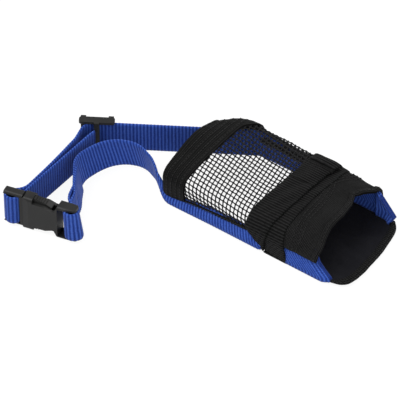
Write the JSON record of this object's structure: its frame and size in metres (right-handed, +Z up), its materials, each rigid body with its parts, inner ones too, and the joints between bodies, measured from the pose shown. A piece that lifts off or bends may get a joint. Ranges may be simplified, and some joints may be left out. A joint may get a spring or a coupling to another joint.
{
  "type": "soft dog muzzle",
  "caption": "Soft tube muzzle of mesh and nylon with webbing side straps, a wrapped nose band, a strap adjuster and a side-release buckle, lying closed.",
  "frame": {"origin": "centre of the nose band's underside, on the surface that the muzzle lies on", "axes": "+X along the muzzle towards the nose opening, +Y to the far side wall, +Z up through the top panel"},
  "size_m": [0.1983, 0.1393, 0.0292],
  "materials": {
    "open_mesh": "open square knitted mesh, black, satin yarn",
    "fine_mesh": "dense black mesh, matt",
    "binding_tape": "black woven tape with sewn rows",
    "band_webbing": "black ribbed webbing",
    "hook_and_loop": "black hook and loop, napped",
    "chin_cloth": "black plain nylon cloth",
    "blue_webbing": "royal blue ribbed nylon webbing, slight sheen",
    "black_acetal": "black moulded acetal, fine satin grain"
  },
  "bodies": {
    "muzzle": {"window_near_wall_mesh": "open_mesh", "window_shoulder_mesh": "open_mesh", "window_near_crown_mesh": "open_mesh", "window_far_crown_mesh": "open_mesh", "window_far_wall_mesh": "open_mesh", "far_wall_gusset": "open_mesh", "rear_binding": "binding_tape", "front_mesh_panel": "fine_mesh", "front_hem_binding": "binding_tape", "near_panel_hem": "binding_tape", "far_panel_hem": "binding_tape", "nose_band_base": "band_webbing", "nose_band_overlap": "band_webbing", "loop_patch": "hook_and_loop", "chin_panel": "chin_cloth", "chin_panel_binding": "binding_tape", "near_side_strap": "blue_webbing", "far_side_strap": "blue_webbing", "near_strap_fold": "blue_webbing", "far_strap_fold": "blue_webbing", "near_neck_strap": "blue_webbing", "near_strap_loop": "blue_webbing", "far_neck_strap": "blue_webbing", "far_strap_tail": "blue_webbing", "buckle_female_body": "black_acetal"},
    "buckle_male": {"buckle_male_plate": "black_acetal", "far_strap_loop": "blue_webbing"},
    "upper_prong": {"buckle_upper_prong": "black_acetal"},
    "lower_prong": {"buckle_lower_prong": "black_acetal"},
    "adjuster": {"tri_glide": "black_acetal"},
    "band_tab": {"nose_band_tab": "band_webbing", "hook_patch": "hook_and_loop"}
  },
  "joints": [
    {"name": "buckle_release", "type": "slide", "parent": "muzzle", "child": "buckle_male", "axis": [-0.9698, -0.2437, 0], "range_m": [0, 0.024], "deforming": ["buckle_upper_prong", "buckle_lower_prong"]},
    {"name": "upper_prong_press", "type": "hinge", "parent": "buckle_male", "child": "upper_prong", "pos_m": [-0.1326, -0.09856, 0.0206], "axis": [-0.2437, 0.9698, 0], "range_deg": [0, 14], "stiffness_Nm_per_rad": 0.05},
    {"name": "lower_prong_press", "type": "hinge", "parent": "buckle_male", "child": "lower_prong", "pos_m": [-0.1326, -0.09856, 0.0034], "axis": [-0.2437, 0.9698, 0], "range_deg": [-14, 0], "stiffness_Nm_per_rad": 0.05},
    {"name": "adjuster_slide", "type": "slide", "parent": "muzzle", "child": "adjuster", "axis": [0.8363, 0.5482, 0], "range_m": [0, 0.025]},
    {"name": "band_tab_peel", "type": "hinge", "parent": "muzzle", "child": "band_tab", "pos_m": [-0.012, 0.00303, 0.02852], "axis": [1, 0, 0], "range_deg": [0, 100]}
  ],
  "couplings": [
    {"joint": "lower_prong_press", "follows": "upper_prong_press", "ratio": -1}
  ]
}
